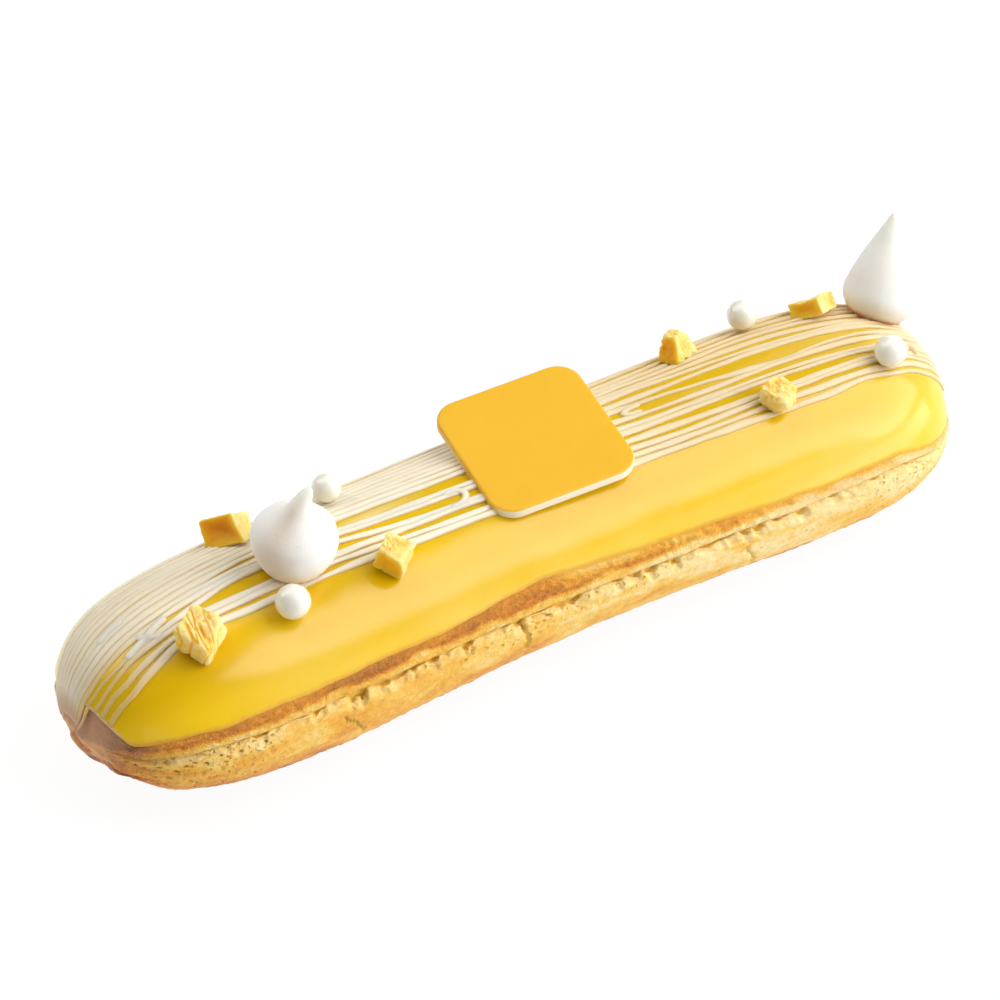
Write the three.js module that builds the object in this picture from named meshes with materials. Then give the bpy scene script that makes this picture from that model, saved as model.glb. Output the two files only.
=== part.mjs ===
// A lemon eclair: a choux shell, a glaze with piped lines, and the toppings that stand on it.
// Millimetres. +X runs along the length, -Y is the front and +Z is up, with the base on z = 0.
import * as THREE from "three";
import { mergeVertices } from "three/addons/utils/BufferGeometryUtils.js";

// Body
const LENGTH = 140;
const WIDTH = 35.6;
const GLAZE_HEIGHT = 25.3; // crown of the glaze, without the piped lines
const WAIST_HEIGHT = 11.4; // level at which the section is widest
const UNDERSIDE_DEPTH = 12.4; // below the waist, before the base is cut flat
const BOW = 0.7; // sideways bow of the middle against the ends
// How square the ends are in plan, over the crown and underneath, and how far the plan flares
const END_LEFT = { plan: 6.6, crown: 9.7, under: 4.9, flare: 0.12 };
const END_RIGHT = { plan: 8.2, crown: 11.1, under: 14, flare: 0.075 };

// Glaze
const GLAZE_THICKNESS = 1.2;
const GAP = 0.3; // clearance between touching pieces
const GLAZE_ENDS = [-0.984, 0.99]; // shares of the half length between which the glaze lies
const GLAZE_END_GAP = 0.4; // clearance beyond those ends
const GLAZE_RIM_DROP = 0.35; // how far the rim is rounded in
const RIM_GAP_ANGLE = 1.3; // degrees of clearance below the rim
const RIM_GAP_ALONG = 0.5; // clearance along the length where the rim climbs over the left end
// Section angles of the glaze's lower edge. On the front it steps down to the right and humps up once.
const FRONT_EDGE = { left: 24.3, stepDown: 7.8, stepFrom: 5, stepTo: 48, hump: 4.7, humpAt: -4, humpSpan: 9 };
const BACK_EDGE = { level: 21, long: 2.5, longRate: 0.055, longPhase: 1, short: 1.2, shortRate: 0.17 };
// The front edge climbs over the left end, the back edge drops there, and both drop round the right end.
const CORNER = { start: 65.5, rise: 136.6, power: 2.2 };
const BACK_LEFT_DROP = { angle: 15, from: -64, to: -50 };
const RIGHT_DROP = { angle: 12, from: 53, to: 66 };
// The lip's lower edge, which follows a share of the drop round the right end
const LIP_EDGE = { left: 15, stepDown: 3.5, stepFrom: -30, stepTo: 35, dropShare: 0.87 };

// Choux relief
const SPLIT_DEPTH = 1.1;
const SPLIT_HEIGHT = 6; // degrees of section angle
const LIP_PROUD = 0.15;
const BULGE_PROUD = 0.35;
const BASE_ANGLE = -68; // edge of the flat spot underneath
const BULGE_WAVE = { height: 0.5, length: 84, crest: 47, from: 5, to: 45 };
const SPLIT_SIDES = { upper: 0.7, lower: 0.8 }; // degrees over which the split's two sides fall in
const SPLIT_DEPTHS = { upper: 0.8, middle: 1, lower: 0.7 }; // shares of its depth
const TORN_EDGE = { wander: 2.2, rate: 1.9, rough: 0.1 }; // lower edge of the split: degrees and mm
const DEPTH_WANDER = 0.3; // share by which the split's depth wanders
// Rows down the bulge: share of the way from the torn edge to the base, and share of the bulge's height
const BULGE_ROWS = [[0.1, 1], [0.27, 1], [0.45, 0.7], [0.64, 0.3], [0.82, 0], [1, 0]];
const RELIEF_FADE = 0.93; // share of the half length beyond which the relief dies away
// Waves that make an edge look jagged: how fast each runs along the length, and its phase for every seed
const JAG_WAVES = [{ rate: 1.31, phase: 2.1 }, { rate: 0.57, phase: 4.7 }];
const JAG_SEEDS = { front: 1, back: 8 };

// Piped lines: section angles of every line at a few stations along the length.
// 0 is the front's widest point, 90 the crown and 180 the back's widest point.
const LINE_WIDTH = 1.15;
const LINE_HEIGHT = 0.5;
const LINE_REACH = 0.42; // most that a line's foot takes of the way to its neighbour
const LINE_LEAST_STEP = 1.5; // degrees that the lines keep apart where the glaze's edge climbs into them
const LINE_STATIONS = [-67, -57, -42, -15, 5, 25, 45, 58, 67];
const LINE_ANGLES = [
  [50, 61, 68, 75, 82, 88, 93, 97, 102, 108, 114, 120, 126, 132, 138],
  [71, 75.5, 80.5, 83.5, 90, 93, 97.5, 102, 106.5, 111, 115, 119, 123, 127, 131],
  [74.7, 80, 82.5, 92.5, 95, 97.5, 102, 105.5, 109, 112, 115.5, 119, 122.5, 126.5, 131],
  [72, 75.2, 80.2, 82.2, 89, 91, 100.5, 103.5, 107, 110.5, 114, 117.5, 121.5, 126, 131],
  [68, 72, 76, 79, 85, 88, 95, 99, 103, 107, 111, 115, 119.5, 124.5, 130],
  [64.5, 68, 71.8, 76.3, 81.5, 84.3, 88, 95.4, 100.5, 106, 109, 112.5, 117, 122, 128],
  [62.5, 66.8, 71.7, 73.8, 79.8, 82, 86.8, 89, 99, 101.7, 106.7, 112, 116.5, 122, 128],
  [60.5, 64.5, 70, 72.3, 76.3, 79, 85, 88.5, 94.5, 97.5, 101, 105.5, 111, 117, 124],
  [52, 58, 63, 67, 71, 75, 80, 84, 89, 93, 97, 102, 108, 115, 123],
];
const LINE_COUNT = LINE_ANGLES[0].length;

// Toppings: station x, section angle, and sizes
const PLAQUE = { side: 22.25, thickness: 1.6, corner: 3.6, edge: 0.25 };
const PLAQUE_SEAT = { middle: [5.9, 2.65, 26.7], yaw: -4.3, lean: 1.6, nod: 5.6 }; // middle of the underside
const KISSES = [
  {
    name: "meringue_left", x: -34.66, angle: 87.25, axis: [0.027, -0.026, 1], lift: 0.85,
    radius: 6.08, height: 11.4, widest: 0.363, dome: 0.512, roundness: 2.4, power: 1,
    tip: 1.06, foot: 2.5, bend: 2.8, curl: [2.73, 0.74],
  },
  {
    name: "meringue_right", x: 64.88, angle: 111.42, axis: [0.291, 0.211, 1], lift: 0.95,
    radius: 5.64, height: 15.3, widest: 0.177, dome: 1, roundness: 1, power: 1.114,
    tip: 0.72, foot: 0, bend: 2.3, curl: [0, 0.1],
  },
];
const KISS_BASE = 0.72; // radius of a kiss's base as a share of its widest radius
const KISS_NUB = { widening: 1.2, from: 0.05, to: 0.45 }; // how a tip widens downwards, and where it fades out
const KISS_BLEND = 1.5; // power of the sum in which dome and tip flow together
const PEARLS = [
  { x: -39.4, angle: 65.1, diameter: 4.9 },
  { x: -24.1, angle: 114.2, diameter: 4.2 },
  { x: 44.9, angle: 117.7, diameter: 4.4 },
  { x: 58.2, angle: 67, diameter: 4.7 },
];
const FRUIT = [
  { x: -52.5, angle: 70.1, size: [5.7, 5.2, 4.5], spin: 36, seed: 1 },
  { x: -22.7, angle: 67.4, size: [4.7, 4.6, 4.4], spin: 33, seed: 2 },
  { x: 40.2, angle: 68.5, size: [3.9, 3.9, 3.4], spin: 25, seed: 3 },
  { x: -39.2, angle: 119, size: [4.2, 6.2, 4.2], spin: 22, axis: [0.1, 0.7, 0.7], raise: 1.3, seed: 4 },
  { x: 33.8, angle: 119.5, size: [5.2, 4.3, 3.9], spin: 30, seed: 5 },
  { x: 55.4, angle: 112, size: [4.5, 6.2, 2.8], spin: 32, axis: [0.05, 0.7, 0.71], raise: 1.5, seed: 6 },
];
const FRUIT_ROUGHNESS = 0.055; // share of a side by which the corners wander
const FRUIT_WAVES = [1.9, 2.7, 1.3]; // how fast that changes along each axis
const FRUIT_SEED_STEP = 5;

// Mesh fineness
const CHOUX_STATIONS = 72;
const SEAT_ROWS = [0, 0.16, 0.35, 0.5, 0.65, 0.84, 1]; // shares of the way over the crown
const TIP_PARTS = [0, 0.45, 0.75, 0.92, 1]; // shares of the way from the glaze's end to the tip
const FLANK_PARTS = [0.1, 0.35, 0.7]; // shares of the way from the glaze's edge to the first line
const GLAZE_STATIONS = 44;
const GLAZE_INNER_ROWS = 9;
const KISS_SIDES = 20;
const KISS_STEPS = 16;
const PEARL_SIDES = 12;
const PEARL_RINGS = 8;
const FRUIT_CUTS = 3; // parts into which a chunk's edges are cut

const radians = THREE.MathUtils.degToRad;
const { smoothstep, lerp } = THREE.MathUtils;

// A point of the body at a share of the half length and a section angle, pushed out by an offset.
function bodyPoint(share, angle, offset = 0) {
  const end = share < 0 ? END_LEFT : END_RIGHT;
  const reach = Math.abs(share);
  const roundTo = (power) => Math.sqrt(Math.max(0, 1 - reach ** power));
  const flare = 1 + end.flare * share * share;
  const halfWidth = (WIDTH / 2 + offset) * roundTo(end.plan) * flare;
  const rise = (GLAZE_HEIGHT - WAIST_HEIGHT + offset) * roundTo(end.crown);
  const drop = (UNDERSIDE_DEPTH + offset) * roundTo(end.under);
  const sine = Math.sin(radians(angle));
  const bow = BOW * (1 - 2 * share * share);
  return new THREE.Vector3(
    share * (LENGTH / 2 + offset),
    bow - halfWidth * Math.cos(radians(angle)),
    Math.max(0, WAIST_HEIGHT + (sine > 0 ? rise : drop) * sine),
  );
}

// Section angle, above the waist, of the glaze's lower edge on the front and on the back.
function frontEdge(x) {
  const { left, stepDown, stepFrom, stepTo, hump, humpAt, humpSpan } = FRONT_EDGE;
  const corner = Math.max(0, (-x - CORNER.start) / (LENGTH / 2 - CORNER.start));
  const climb = CORNER.rise * corner ** CORNER.power;
  const swell = hump * Math.exp(-(((x - humpAt) / humpSpan) ** 2));
  return left - stepDown * smoothstep(x, stepFrom, stepTo) + swell + climb - rightDrop(x);
}
function backEdge(x) {
  const { level, long, longRate, longPhase, short, shortRate } = BACK_EDGE;
  const waves = long * Math.sin(longRate * x + longPhase) + short * Math.sin(shortRate * x);
  const leftDrop = BACK_LEFT_DROP.angle * (1 - smoothstep(x, BACK_LEFT_DROP.from, BACK_LEFT_DROP.to));
  return level + waves - leftDrop - rightDrop(x);
}
function rightDrop(x) {
  return RIGHT_DROP.angle * smoothstep(x, RIGHT_DROP.from, RIGHT_DROP.to);
}

// Section angle of the lip's lower edge, above the split in the crust.
function lipEdge(x) {
  const { left, stepDown, stepFrom, stepTo, dropShare } = LIP_EDGE;
  return left - stepDown * smoothstep(x, stepFrom, stepTo) - dropShare * rightDrop(x);
}

// A repeatable jagged wave between -1 and 1 along the length.
function jag(x, seed) {
  const waves = JAG_WAVES.map(({ rate, phase }) => Math.sin(rate * x + phase * seed));
  return waves.reduce((sum, wave) => sum + wave / waves.length, 0);
}

// Shares of the half length, evenly spaced along the outline that the body has in plan.
class PlanOutline extends THREE.Curve {
  constructor(from, to) {
    super();
    this.from = from;
    this.to = to;
  }
  getPoint(t) {
    const share = lerp(this.from, this.to, 0.5 - 0.5 * Math.cos(Math.PI * t));
    const point = bodyPoint(share, 0);
    return new THREE.Vector3(point.x, point.y, 0);
  }
}
function stations([from, to], count) {
  const outline = new PlanOutline(from, to);
  outline.arcLengthDivisions = 4000;
  return outline.getSpacedPoints(count - 1).map((point) => point.x / (LENGTH / 2));
}

// Triangles that close one ring of points, wound with the ring (turn 1) or against it (turn -1).
function capFaces(ring, start, turn) {
  const outline = ring.map((point) => new THREE.Vector2(point.y, point.z));
  const wanted = turn * Math.sign(THREE.ShapeUtils.area(outline));
  return THREE.ShapeUtils.triangulateShape(outline, []).flatMap((face) => {
    const winding = Math.sign(THREE.ShapeUtils.area(face.map((corner) => outline[corner])));
    const ordered = winding === wanted ? face : face.toReversed();
    return ordered.map((corner) => start + corner);
  });
}

// A closed solid from rings of points: neighbouring rings are joined, and open ends are capped.
function solidFromRings(rings, capped) {
  const size = rings[0].length;
  const positions = rings.flat().flatMap((point) => [point.x, point.y, point.z]);
  const index = [];
  for (let ring = 0; ring + 1 < rings.length; ring++) {
    for (let i = 0; i < size; i++) {
      const a = ring * size + i;
      const b = ring * size + ((i + 1) % size);
      index.push(a, a + size, b, b, a + size, b + size);
    }
  }
  if (capped) {
    index.push(...capFaces(rings[0], 0, 1));
    index.push(...capFaces(rings.at(-1), (rings.length - 1) * size, -1));
  }
  const geometry = new THREE.BufferGeometry();
  geometry.setAttribute("position", new THREE.Float32BufferAttribute(positions, 3));
  geometry.setIndex(index);
  return welded(geometry);
}

// Merges shared corners and drops the triangles that collapse.
function welded(geometry) {
  geometry.deleteAttribute("normal");
  geometry.deleteAttribute("uv");
  const merged = mergeVertices(geometry, 1e-3);
  const corners = merged.index.array;
  const kept = [];
  for (let i = 0; i < corners.length; i += 3) {
    const [a, b, c] = corners.slice(i, i + 3);
    if (a !== b && b !== c && c !== a) kept.push(a, b, c);
  }
  merged.setIndex(kept);
  merged.computeVertexNormals();
  return merged;
}

// Rows of the choux down one side, from the glaze's edge to the base: section angle and offset.
function chouxSide(x, edge, seed) {
  const lip = lipEdge(x);
  const torn = lip - SPLIT_HEIGHT + TORN_EDGE.wander * jag(TORN_EDGE.rate * x, seed);
  const depth = -SPLIT_DEPTH * (1 + DEPTH_WANDER * jag(x, seed + 1));
  const { height, length, crest, from, to } = BULGE_WAVE;
  const wave = height * Math.cos((2 * Math.PI * (x - crest)) / length);
  const bulge = BULGE_ROWS.map(([part, share]) => {
    const angle = lerp(torn, BASE_ANGLE, part);
    const swell = part < 1 ? wave * smoothstep(-angle, -from, to) : 0;
    return [angle, BULGE_PROUD * share + swell];
  });
  return [
    [edge, LIP_PROUD * jag(x, seed + 2)],
    [lerp(edge, lip, 0.5), LIP_PROUD * (1 + jag(x, seed + 3))],
    [lip, LIP_PROUD * (1 + jag(x, seed + 4))],
    [lip - SPLIT_SIDES.upper, depth * SPLIT_DEPTHS.upper],
    [lerp(lip, torn, 0.5), depth * SPLIT_DEPTHS.middle],
    [torn + SPLIT_SIDES.lower, depth * SPLIT_DEPTHS.lower],
    [torn, TORN_EDGE.rough * jag(TORN_EDGE.rate * x, seed + 5)],
    ...bulge,
  ];
}

// The baked shell: a flat base, a bulge, the split under the lip, and a seat for the glaze.
function chouxGeometry() {
  const seat = -GLAZE_THICKNESS - GAP;
  const ledges = GLAZE_ENDS.map((share) => share + (GLAZE_END_GAP * Math.sign(share)) / (LENGTH / 2));
  const inner = stations(ledges, CHOUX_STATIONS).map((share) => ({ share, seated: true }));
  const [left, right] = ledges.map((ledge) => {
    const tip = TIP_PARTS.map((part) => lerp(ledge, Math.sign(ledge), part));
    return tip.map((share) => ({ share, seated: false }));
  });
  const rings = [...left.reverse(), ...inner, ...right].map(({ share, seated }) => {
    const x = (share * LENGTH) / 2;
    const front = frontEdge(x + RIM_GAP_ALONG) - RIM_GAP_ANGLE;
    const back = backEdge(x) - RIM_GAP_ANGLE;
    const fade = 1 - smoothstep(Math.abs(share), RELIEF_FADE, 1);
    const top = seated ? seat : 0;
    const relief = ([angle, offset]) => [angle, offset * fade];
    const frontRows = chouxSide(x, front, JAG_SEEDS.front).map(relief);
    const backRows = chouxSide(x, back, JAG_SEEDS.back).map(relief);
    const rows = [
      [-90, 0],
      ...frontRows.reverse(),
      ...SEAT_ROWS.map((part) => [lerp(front, 180 - back, part), top]),
      ...backRows.map(([angle, offset]) => [180 - angle, offset]),
    ];
    return rows.map(([angle, offset]) => bodyPoint(share, angle, offset));
  });
  return solidFromRings(rings, false);
}

// Outer rows across the piped lines at one station: a crest on each line, feet or valleys between.
function lineRows(angles, degreesPerMm) {
  const half = (LINE_WIDTH / 2) * degreesPerMm;
  const rows = [[angles[0] - half, 0]];
  angles.forEach((angle, i) => {
    rows.push([angle, LINE_HEIGHT]);
    const next = angles[i + 1];
    if (next === undefined) return;
    const reach = Math.min(half, LINE_REACH * (next - angle));
    const foot = LINE_HEIGHT * (1 - (reach / half) ** 2);
    rows.push([angle + reach, foot], [next - reach, foot]);
  });
  rows.push([angles.at(-1) + half, 0]);
  return rows;
}

// The glaze with its piped lines: an arched skin, open at the base and at both ends.
function icingGeometry() {
  const lineAngles = new THREE.CubicInterpolant(LINE_STATIONS, LINE_ANGLES.flat(), LINE_COUNT);
  const degreesPerMm = 360 / (Math.PI * (WIDTH / 2 + GLAZE_HEIGHT - WAIST_HEIGHT));
  const rings = stations(GLAZE_ENDS, GLAZE_STATIONS).map((share) => {
    const x = (share * LENGTH) / 2;
    const front = frontEdge(x);
    const back = 180 - backEdge(x);
    const free = (angle, i) => Math.max(angle, front + LINE_LEAST_STEP * (i + 1));
    const lines = lineRows([...lineAngles.evaluate(x)].map(free), degreesPerMm);
    const first = lines[0][0];
    const last = lines.at(-1)[0];
    const flank = (from, to) => FLANK_PARTS.map((part) => [lerp(from, to, part), 0]);
    const outer = [
      [front, -GLAZE_RIM_DROP],
      ...flank(front, first),
      ...lines,
      ...flank(back, last).reverse(),
      [back, -GLAZE_RIM_DROP],
    ];
    const inner = [];
    for (let i = 0; i < GLAZE_INNER_ROWS; i++) {
      inner.push([lerp(back, front, i / (GLAZE_INNER_ROWS - 1)), -GLAZE_THICKNESS]);
    }
    return [...outer, ...inner].map(([angle, offset]) => bodyPoint(share, angle, offset));
  });
  return solidFromRings(rings, true);
}

// A frame on the glaze at a station and a section angle: x points along the length, z out of the surface or
// along a given axis. It is lifted along z and turned about it by the spin.
function seatFrame({ x, angle, axis, spin = 0 }, lift) {
  const step = 0.002;
  const share = x / (LENGTH / 2);
  const along = bodyPoint(share + step, angle).sub(bodyPoint(share - step, angle));
  const across = bodyPoint(share, angle + 1).sub(bodyPoint(share, angle - 1));
  const out = axis ? new THREE.Vector3(...axis) : new THREE.Vector3().crossVectors(along, across);
  out.normalize();
  along.addScaledVector(out, -along.dot(out)).normalize();
  const side = new THREE.Vector3().crossVectors(out, along);
  const frame = new THREE.Matrix4().makeBasis(along, side, out);
  frame.setPosition(bodyPoint(share, angle).addScaledVector(out, lift));
  return frame.multiply(new THREE.Matrix4().makeRotationZ(radians(spin)));
}

// A square tablet with round corners and a softened edge, its underside on z = 0.
function plaqueGeometry() {
  const { side, thickness, corner, edge } = PLAQUE;
  const half = side / 2 - edge;
  const radius = corner - edge;
  const inset = half - radius;
  const outline = new THREE.Shape();
  outline.absarc(inset, inset, radius, 0, Math.PI / 2);
  outline.absarc(-inset, inset, radius, Math.PI / 2, Math.PI);
  outline.absarc(-inset, -inset, radius, Math.PI, 1.5 * Math.PI);
  outline.absarc(inset, -inset, radius, 1.5 * Math.PI, 2 * Math.PI);
  const geometry = new THREE.ExtrudeGeometry(outline, {
    depth: thickness - 2 * edge,
    bevelThickness: edge,
    bevelSize: edge,
    bevelSegments: 1,
    curveSegments: 6,
  });
  return welded(geometry.translate(0, 0, edge));
}

// Slopes of the glaze's tangent plane under a piece, along the x and y of the piece's own frame.
function seatSlopes(seat) {
  const out = new THREE.Vector3().setFromMatrixColumn(seatFrame({ ...seat, axis: undefined }, 0), 2);
  out.transformDirection(seatFrame(seat, 0).invert());
  return [-out.x / out.z, -out.y / out.z];
}

// A piped meringue kiss about z = 0: a base along the glaze under it, a dome above the widest level, and a narrow
// tip that curls over.
function kissGeometry(kiss) {
  const { radius, height, widest, dome, roundness, power, tip, foot, bend, curl } = kiss;
  const slopes = seatSlopes(kiss);
  const overWidest = (z) => Math.max(0, (z / height - widest) / (1 - widest));
  const profile = [new THREE.Vector2(0, 0)];
  for (let i = 0; i <= KISS_STEPS; i++) {
    const z = (height * i) / KISS_STEPS;
    const over = overWidest(z);
    const under = Math.max(0, 1 - z / (widest * height));
    const body = radius * (1 - (1 - KISS_BASE) * under ** 2);
    const domed = body * Math.max(0, 1 - (over / dome) ** roundness) ** power;
    const wider = 1 + KISS_NUB.widening * (1 - over) + foot * (1 - over) ** 2;
    const nub = tip * wider * smoothstep(over, KISS_NUB.from, KISS_NUB.to);
    const reach = (domed ** KISS_BLEND + nub ** KISS_BLEND) ** (1 / KISS_BLEND);
    profile.push(new THREE.Vector2(i === KISS_STEPS ? 0 : reach, z));
  }
  const geometry = new THREE.LatheGeometry(profile, KISS_SIDES).rotateX(Math.PI / 2);
  const points = geometry.getAttribute("position");
  for (let i = 0; i < points.count; i++) {
    const [x, y, z] = [points.getX(i), points.getY(i), points.getZ(i)];
    const shift = overWidest(z) ** bend;
    const slant = Math.max(0, 1 - z / (widest * height)) * (slopes[0] * x + slopes[1] * y);
    points.setXYZ(i, x + curl[0] * shift, y + curl[1] * shift, z + slant);
  }
  return welded(geometry);
}

// A chunk of dried fruit about its middle: a block with wandering corners and hollowed sides.
function fruitGeometry({ size, seed }) {
  const geometry = welded(new THREE.BoxGeometry(...size, FRUIT_CUTS, FRUIT_CUTS, FRUIT_CUTS));
  const points = geometry.getAttribute("position");
  const [rateX, rateY, rateZ] = FRUIT_WAVES;
  const wander = ({ x, y, z }, turn) => {
    return Math.sin(rateX * x + rateY * y * turn + rateZ * z + FRUIT_SEED_STEP * seed + turn);
  };
  const point = new THREE.Vector3();
  for (let i = 0; i < points.count; i++) {
    point.fromBufferAttribute(points, i);
    const shift = size.map((side, axis) => {
      return FRUIT_ROUGHNESS * side * wander(point, axis + 1);
    });
    points.setXYZ(i, point.x + shift[0], point.y + shift[1], point.z + shift[2]);
  }
  return geometry;
}

const eclair = new THREE.Group();
eclair.name = "eclair";

function addPiece(name, geometry, finish, frame) {
  const material = new THREE.MeshStandardMaterial({ ...finish, metalness: 0 });
  const mesh = new THREE.Mesh(geometry, material);
  mesh.name = name;
  if (frame) mesh.applyMatrix4(frame);
  eclair.add(mesh);
}

const FINISHES = {
  choux: { color: 0xe3ae52, roughness: 0.8 },
  icing: { color: 0xf6d24f, roughness: 0.3 },
  plaque: { color: 0xf8c52c, roughness: 0.4 },
  meringue: { color: 0xf4f1ec, roughness: 0.8 },
  pearl: { color: 0xf3f0e4, roughness: 0.35 },
  fruit: { color: 0xf3cf6b, roughness: 0.7 },
};
const topOfLines = LINE_HEIGHT + GAP;

addPiece("choux", chouxGeometry(), FINISHES.choux);
addPiece("icing", icingGeometry(), FINISHES.icing);

const plaqueFrame = new THREE.Matrix4().makeRotationZ(radians(PLAQUE_SEAT.yaw));
plaqueFrame.multiply(new THREE.Matrix4().makeRotationY(radians(-PLAQUE_SEAT.lean)));
plaqueFrame.multiply(new THREE.Matrix4().makeRotationX(radians(PLAQUE_SEAT.nod)));
plaqueFrame.setPosition(...PLAQUE_SEAT.middle);
addPiece("plaque", plaqueGeometry(), FINISHES.plaque, plaqueFrame);

for (const kiss of KISSES) {
  addPiece(kiss.name, kissGeometry(kiss), FINISHES.meringue, seatFrame(kiss, kiss.lift));
}

PEARLS.forEach((pearl, i) => {
  const radius = pearl.diameter / 2;
  const geometry = welded(new THREE.SphereGeometry(radius, PEARL_SIDES, PEARL_RINGS));
  addPiece(`pearl_${i + 1}`, geometry, FINISHES.pearl, seatFrame(pearl, topOfLines + radius));
});

FRUIT.forEach((piece, i) => {
  const lift = topOfLines + piece.size[2] * (0.5 + FRUIT_ROUGHNESS) + (piece.raise ?? 0);
  addPiece(`fruit_${i + 1}`, fruitGeometry(piece), FINISHES.fruit, seatFrame(piece, lift));
});

export default eclair;
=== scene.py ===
"""A lemon eclair dressed for rendering: baked crust, glaze, piped lines and toppings on a pale table.

Shapes are worked out in millimetres on numpy grids and put into meshes in metres.
+X runs along the length, -Y is the front and +Z is up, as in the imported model.
A place on the eclair is a share of the half length (-1 to 1) and a section angle in degrees:
0 is the front's widest point, 90 the crown and 180 the back's widest point.
"""
import itertools

import bmesh
import bpy
import numpy as np
from mathutils import Euler, Matrix, Vector


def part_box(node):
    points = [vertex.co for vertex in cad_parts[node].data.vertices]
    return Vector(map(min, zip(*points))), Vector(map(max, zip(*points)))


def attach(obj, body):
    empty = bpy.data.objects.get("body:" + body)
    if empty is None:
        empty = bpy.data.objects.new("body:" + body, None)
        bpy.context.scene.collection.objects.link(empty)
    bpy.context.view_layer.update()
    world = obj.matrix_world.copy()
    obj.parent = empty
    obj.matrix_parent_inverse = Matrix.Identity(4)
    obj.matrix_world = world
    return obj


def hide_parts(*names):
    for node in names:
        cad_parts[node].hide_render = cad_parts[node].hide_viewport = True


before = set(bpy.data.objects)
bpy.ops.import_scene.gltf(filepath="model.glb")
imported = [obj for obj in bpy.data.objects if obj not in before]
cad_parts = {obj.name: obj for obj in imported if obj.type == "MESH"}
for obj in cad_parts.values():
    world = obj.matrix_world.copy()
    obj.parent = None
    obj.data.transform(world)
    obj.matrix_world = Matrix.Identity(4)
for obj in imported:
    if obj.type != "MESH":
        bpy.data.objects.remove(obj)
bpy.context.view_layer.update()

MM = 0.001

# Body
HALF_LENGTH = (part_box("choux")[1].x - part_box("choux")[0].x) / MM / 2
WIDTH = 35.6
GLAZE_HEIGHT = 25.3
WAIST_HEIGHT = 11.4
UNDERSIDE_DEPTH = 12.4
BOW = 0.7
END_LEFT = {"plan": 6.6, "crown": 9.7, "under": 4.9, "flare": 0.12}
END_RIGHT = {"plan": 8.2, "crown": 11.1, "under": 14, "flare": 0.075}
MM_PER_DEGREE = np.pi * (WIDTH / 2 + GLAZE_HEIGHT - WAIST_HEIGHT) / 360

# Glaze: its edge is given in degrees above the waist, and places along it in mm
GLAZE_THICKNESS = 1.2
GAP = 0.3
GLAZE_ENDS = (-0.994, 0.9999)
FRONT_EDGE = 24.3
FRONT_FALL = 7.8
HUMP_RISE = 4.7
HUMP_PLACE = (-4, 9)
BACK_EDGE = 21
BACK_FALL = 15
CORNER_START = 65.5
CORNER_RISE = 136.6
CORNER_POWER = 2.2
RIGHT_DROP = 12
RIGHT_DROP_SPAN = (53, 66)

# Crust
LIP_ANGLE = 15
LIP_FALL = 3.5
SPLIT_DEPTH = 0.85
UNDERCUT = 1.0
CRACK_DEPTH = 0.5
PORE_DEPTH = 0.45
BARE_END = (-61, -68)
CRUMB_DEPTH = 0.28
CRUMB_HEIGHT = 7
LIP_PROUD = 0.3
BULGE_PROUD = 0.35
BASE_ANGLE = -68
WAVE_HEIGHT = 0.5
WAVE_LENGTH = 84
WAVE_CREST = 47
# Openings of the split under the lip: station, half width mm, height in degrees
FRONT_OPENINGS = [
    (-50, 1.2, 2), (-41, 1.2, 2.6), (-34.8, 1.6, 7.5), (-29.5, 3.2, 4.2), (-25.7, 1, 3.2),
    (-22.6, 1, 3), (-17, 1, 5.2), (-8.6, 0.9, 4.8), (-0.6, 2.4, 3.6), (7.4, 0.8, 2.6),
    (10.2, 1, 3.8), (13, 1.1, 3.4), (16.8, 0.8, 6.2), (22.8, 2.3, 4), (26, 0.8, 3.6), (28.2, 0.8, 3.2),
    (30.6, 1.2, 5.4), (33.6, 0.7, 4), (37.7, 1, 4.4), (43, 0.8, 2.2), (50, 0.9, 2), (56, 0.8, 1.8),
]
BACK_OPENINGS = [
    (-54, 1.3, 2.6), (-46, 2.6, 3.9), (-38, 0.9, 3), (-30, 1.2, 6), (-21, 3, 3.8),
    (-13, 0.9, 4.2), (-5, 1.8, 3.4), (4, 1, 5.6), (12, 2.4, 3.6), (21, 0.9, 2.8),
    (28, 1.3, 6.2), (36, 2, 3.8), (45, 1, 3),
]
# Cracks down the bulge: station and section angle of their upper and lower ends
FRONT_CRACKS = [((-37, 2), (-33.5, -20)), ((-9, 10), (-6.5, -15)), ((28.3, -1), (31, -30))]
BACK_CRACKS = [((-24, 3), (-20, -22)), ((26, 2), (29.5, -18))]

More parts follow.
